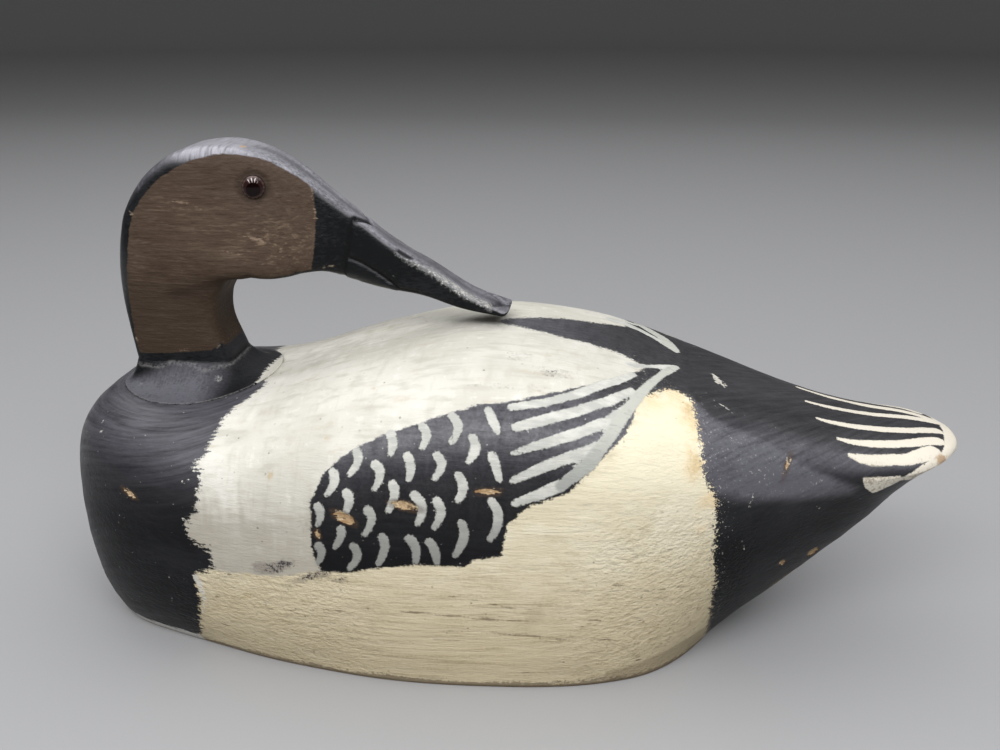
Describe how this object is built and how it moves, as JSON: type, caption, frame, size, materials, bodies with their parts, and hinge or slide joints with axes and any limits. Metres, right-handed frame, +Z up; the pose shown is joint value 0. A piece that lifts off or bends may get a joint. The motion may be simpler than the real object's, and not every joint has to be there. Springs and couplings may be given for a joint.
{
  "type": "duck decoy",
  "caption": "Hand-carved wooden duck decoy with its head turned back over its shoulder, painted in the pattern of a diving drake, on a flat sawn underside.",
  "frame": {"origin": "middle of the object on the surface that its flat underside rests on", "axes": "+X towards the tail, -X towards the breast, +Y towards the duck's right side of the body, +Z up"},
  "size_m": [0.4, 0.1734, 0.2205],
  "materials": {
    "body_paint": "matt oil paint on carved wood: black breast and rump, grey-white back, cream flanks, worn to the wood in places",
    "head_paint": "matt brown and black oil paint on carved wood, with the grain and small chips showing",
    "eye_glass": "polished glass over a dark pupil and a brown ring"
  },
  "bodies": {
    "root": {"body": "body_paint", "head": "head_paint", "right_eye": "eye_glass", "left_eye": "eye_glass"}
  },
  "joints": []
}
